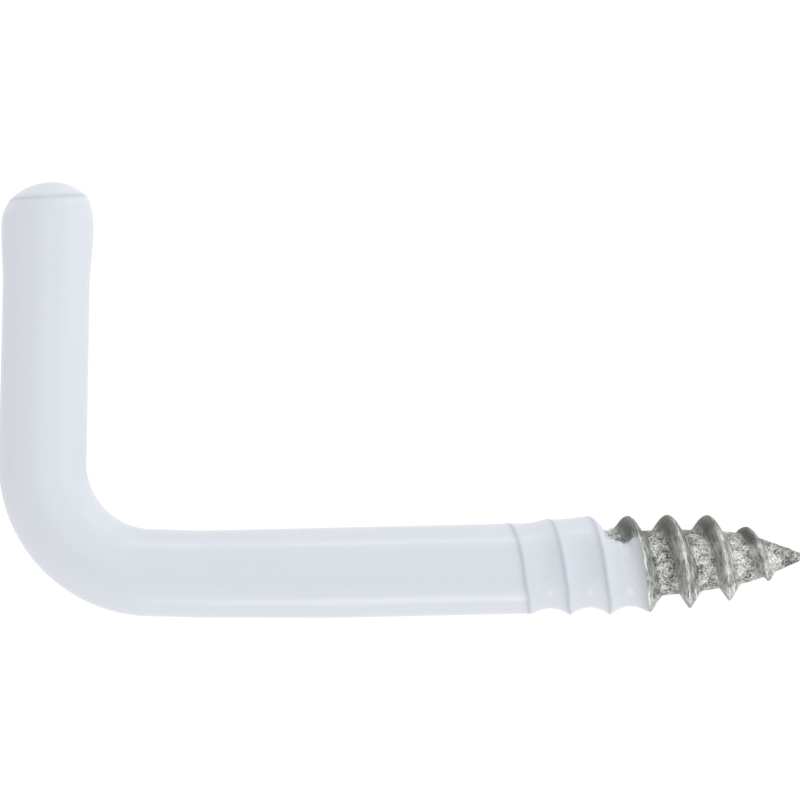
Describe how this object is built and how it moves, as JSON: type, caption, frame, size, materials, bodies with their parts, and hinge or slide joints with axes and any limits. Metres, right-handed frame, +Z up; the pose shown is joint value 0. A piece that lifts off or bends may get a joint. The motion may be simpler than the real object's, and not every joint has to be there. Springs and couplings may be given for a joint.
{
  "type": "screw-in hinge pin",
  "caption": "Steel wire bent to a square corner, with a wood-screw thread at one end and an upright pin at the other, dipped in white plastic up to the first threads.",
  "frame": {"origin": "on the shank's axis, where the thread starts", "axes": "+X along the shank towards the point, +Y towards the pin's free end, +Z up off the face that it lies on"},
  "size_m": [0.0507, 0.028, 0.0062],
  "materials": {
    "zinc_steel": "zinc plated, dull and mottled",
    "white_plastic": "dipped, smooth, softly glossy"
  },
  "bodies": {
    "root": {"steel_pin": "zinc_steel", "plastic_coat": "white_plastic"}
  },
  "joints": []
}
